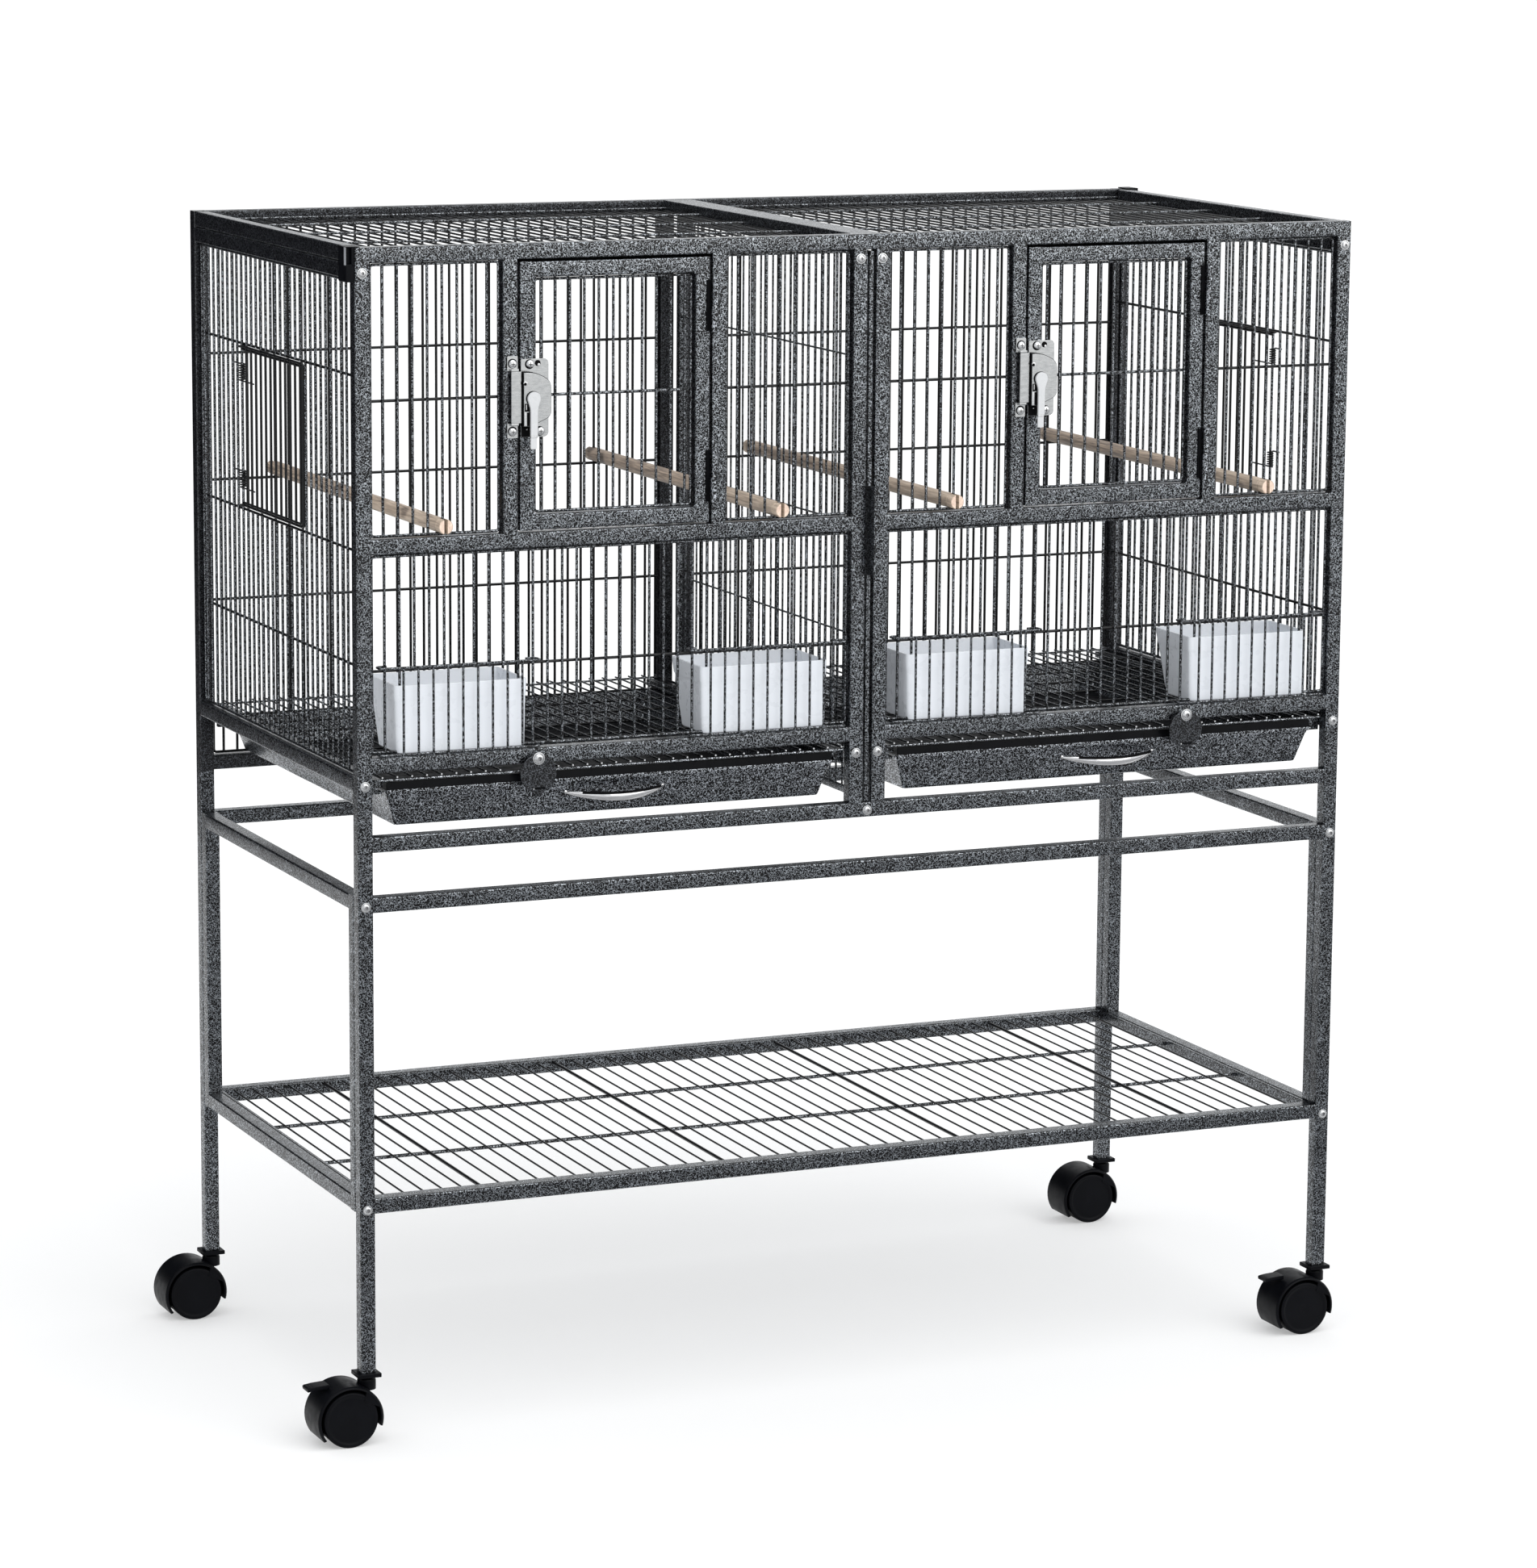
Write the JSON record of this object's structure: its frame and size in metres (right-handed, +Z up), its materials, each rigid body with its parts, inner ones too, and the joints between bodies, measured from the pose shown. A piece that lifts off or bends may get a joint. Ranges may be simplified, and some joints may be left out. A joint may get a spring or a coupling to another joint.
{
  "type": "bird cage on stand",
  "caption": "Divided wire breeder cage with drop-in trays, feed cups and perches, on a square-tube stand with a wire shelf and twin-wheel casters.",
  "frame": {"origin": "middle of the footprint on the floor, casters and end caps included", "axes": "+Z up, -Y out of the front with the doors, +X to the right seen from the front"},
  "size_m": [1.0095, 0.4774, 1.0362],
  "materials": {
    "hammertone_steel": "hammered charcoal powder coat",
    "chrome": "polished",
    "black_plastic": "satin",
    "white_plastic": "satin",
    "wood": "bare sanded"
  },
  "bodies": {
    "cage": {"back_panel": "hammertone_steel", "cap_back_right": "black_plastic", "cap_front_left": "black_plastic", "front_panel": "hammertone_steel", "keeper_left": "chrome", "keeper_right": "chrome", "left_panel": "hammertone_steel", "leg_plug_1": "black_plastic", "leg_plug_2": "black_plastic", "leg_plug_3": "black_plastic", "leg_plug_4": "black_plastic", "perch_1": "wood", "perch_2": "wood", "perch_3": "wood", "perch_4": "wood", "right_panel": "hammertone_steel", "roof": "hammertone_steel", "shelf": "hammertone_steel", "stand_back": "hammertone_steel", "stand_front": "hammertone_steel", "stand_left": "hammertone_steel", "stand_right": "hammertone_steel", "tray_rack_left": "hammertone_steel", "tray_rack_right": "hammertone_steel"},
    "front_door_left": {"door_left": "hammertone_steel", "latch_body_left": "chrome"},
    "latch_lever_left": {"latch_lever_left": "chrome"},
    "litter_tray_left": {"tray_left": "hammertone_steel", "tray_handle_left": "chrome"},
    "floor_grate_left": {"grate_left": "hammertone_steel"},
    "tray_lock_left": {"lock_disc_left": "hammertone_steel"},
    "nest_flap_left": {"nest_door_left": "hammertone_steel"},
    "front_door_right": {"door_right": "hammertone_steel", "latch_body_right": "chrome"},
    "latch_lever_right": {"latch_lever_right": "chrome"},
    "litter_tray_right": {"tray_right": "hammertone_steel", "tray_handle_right": "chrome"},
    "floor_grate_right": {"grate_right": "hammertone_steel"},
    "tray_lock_right": {"lock_disc_right": "hammertone_steel"},
    "nest_flap_right": {"nest_door_right": "hammertone_steel"},
    "feed_gate_1": {"cup_gate_1": "hammertone_steel"},
    "feed_cup_1": {"cup_1": "white_plastic"},
    "feed_gate_2": {"cup_gate_2": "hammertone_steel"},
    "feed_cup_2": {"cup_2": "white_plastic"},
    "feed_gate_3": {"cup_gate_3": "hammertone_steel"},
    "feed_cup_3": {"cup_3": "white_plastic"},
    "feed_gate_4": {"cup_gate_4": "hammertone_steel"},
    "feed_cup_4": {"cup_4": "white_plastic"},
    "caster_1": {"caster_body_1": "black_plastic"},
    "wheels_1": {"caster_wheels_1": "black_plastic"},
    "brake_1": {"brake_pedal_1": "black_plastic"},
    "caster_2": {"caster_body_2": "black_plastic"},
    "wheels_2": {"caster_wheels_2": "black_plastic"},
    "brake_2": {"brake_pedal_2": "black_plastic"},
    "caster_3": {"caster_body_3": "black_plastic"},
    "wheels_3": {"caster_wheels_3": "black_plastic"},
    "caster_4": {"caster_body_4": "black_plastic"},
    "wheels_4": {"caster_wheels_4": "black_plastic"},
    "divider": {"divider": "hammertone_steel"}
  },
  "joints": [
    {"name": "door_hinge_left", "type": "hinge", "parent": "cage", "child": "front_door_left", "pos_m": [-0.12955, -0.229, 0.905], "axis": [0, 0, 1], "range_deg": [0, 135]},
    {"name": "latch_pivot_left", "type": "hinge", "parent": "front_door_left", "child": "latch_lever_left", "pos_m": [-0.2969, -0.2363, 0.903], "axis": [0, -1, 0], "range_deg": [0, 90]},
    {"name": "tray_slide_left", "type": "slide", "parent": "cage", "child": "litter_tray_left", "axis": [0, -1, 0], "range_m": [0, 0.4]},
    {"name": "grate_slide_left", "type": "slide", "parent": "cage", "child": "floor_grate_left", "axis": [0, -1, 0], "range_m": [0, 0.33]},
    {"name": "tray_lock_pivot_left", "type": "hinge", "parent": "cage", "child": "tray_lock_left", "pos_m": [-0.2933, -0.2302, 0.5935], "axis": [0, -1, 0], "continuous": true},
    {"name": "nest_door_hinge_left", "type": "hinge", "parent": "cage", "child": "nest_flap_left", "pos_m": [-0.4493, 0.09546, 0.852], "axis": [0, 0, -1], "range_deg": [0, 95], "stiffness_Nm_per_rad": 0.02},
    {"name": "door_hinge_right", "type": "hinge", "parent": "cage", "child": "front_door_right", "pos_m": [0.35045, -0.229, 0.905], "axis": [0, 0, 1], "range_deg": [0, 135]},
    {"name": "latch_pivot_right", "type": "hinge", "parent": "front_door_right", "child": "latch_lever_right", "pos_m": [0.1831, -0.2363, 0.903], "axis": [0, -1, 0], "range_deg": [0, 90]},
    {"name": "tray_slide_right", "type": "slide", "parent": "cage", "child": "litter_tray_right", "axis": [0, -1, 0], "range_m": [0, 0.4]},
    {"name": "grate_slide_right", "type": "slide", "parent": "cage", "child": "floor_grate_right", "axis": [0, -1, 0], "range_m": [0, 0.33]},
    {"name": "tray_lock_pivot_right", "type": "hinge", "parent": "cage", "child": "tray_lock_right", "pos_m": [0.3347, -0.2302, 0.5935], "axis": [0, -1, 0], "continuous": true},
    {"name": "nest_door_hinge_right", "type": "hinge", "parent": "cage", "child": "nest_flap_right", "pos_m": [0.4907, -0.09546, 0.852], "axis": [0, 0, -1], "range_deg": [0, 95], "stiffness_Nm_per_rad": 0.02},
    {"name": "feed_gate_slide_1", "type": "slide", "parent": "cage", "child": "feed_gate_1", "axis": [0, 0, 1], "range_m": [0, 0.068]},
    {"name": "feed_cup_lift_1", "type": "slide", "parent": "cage", "child": "feed_cup_1", "axis": [0, 0, 1], "range_m": [0, 0.011]},
    {"name": "feed_gate_slide_2", "type": "slide", "parent": "cage", "child": "feed_gate_2", "axis": [0, 0, 1], "range_m": [0, 0.068]},
    {"name": "feed_cup_lift_2", "type": "slide", "parent": "cage", "child": "feed_cup_2", "axis": [0, 0, 1], "range_m": [0, 0.011]},
    {"name": "feed_gate_slide_3", "type": "slide", "parent": "cage", "child": "feed_gate_3", "axis": [0, 0, 1], "range_m": [0, 0.068]},
    {"name": "feed_cup_lift_3", "type": "slide", "parent": "cage", "child": "feed_cup_3", "axis": [0, 0, 1], "range_m": [0, 0.011]},
    {"name": "feed_gate_slide_4", "type": "slide", "parent": "cage", "child": "feed_gate_4", "axis": [0, 0, 1], "range_m": [0, 0.068]},
    {"name": "feed_cup_lift_4", "type": "slide", "parent": "cage", "child": "feed_cup_4", "axis": [0, 0, 1], "range_m": [0, 0.011]},
    {"name": "caster_swivel_1", "type": "hinge", "parent": "cage", "child": "caster_1", "pos_m": [-0.44855, -0.21875, 0.05], "axis": [0, 0, 1], "continuous": true},
    {"name": "wheel_spin_1", "type": "hinge", "parent": "caster_1", "child": "wheels_1", "pos_m": [-0.46925, -0.21875, 0.025], "axis": [0, 1, 0], "continuous": true},
    {"name": "brake_press_1", "type": "hinge", "parent": "caster_1", "child": "brake_1", "pos_m": [-0.48725, -0.21875, 0.0535], "axis": [0, -1, 0], "range_deg": [0, 12]},
    {"name": "caster_swivel_2", "type": "hinge", "parent": "cage", "child": "caster_2", "pos_m": [0.48995, -0.21875, 0.05], "axis": [0, 0, 1], "continuous": true},
    {"name": "wheel_spin_2", "type": "hinge", "parent": "caster_2", "child": "wheels_2", "pos_m": [0.46925, -0.21875, 0.025], "axis": [0, 1, 0], "continuous": true},
    {"name": "brake_press_2", "type": "hinge", "parent": "caster_2", "child": "brake_2", "pos_m": [0.45125, -0.21875, 0.0535], "axis": [0, -1, 0], "range_deg": [0, 12]},
    {"name": "caster_swivel_3", "type": "hinge", "parent": "cage", "child": "caster_3", "pos_m": [-0.44855, 0.21875, 0.05], "axis": [0, 0, 1], "continuous": true},
    {"name": "wheel_spin_3", "type": "hinge", "parent": "caster_3", "child": "wheels_3", "pos_m": [-0.46925, 0.21875, 0.025], "axis": [0, 1, 0], "continuous": true},
    {"name": "caster_swivel_4", "type": "hinge", "parent": "cage", "child": "caster_4", "pos_m": [0.48995, 0.21875, 0.05], "axis": [0, 0, 1], "continuous": true},
    {"name": "wheel_spin_4", "type": "hinge", "parent": "caster_4", "child": "wheels_4", "pos_m": [0.46925, 0.21875, 0.025], "axis": [0, 1, 0], "continuous": true},
    {"name": "divider_slide", "type": "slide", "parent": "cage", "child": "divider", "axis": [0, -1, 0], "range_m": [0, 0.43]}
  ]
}
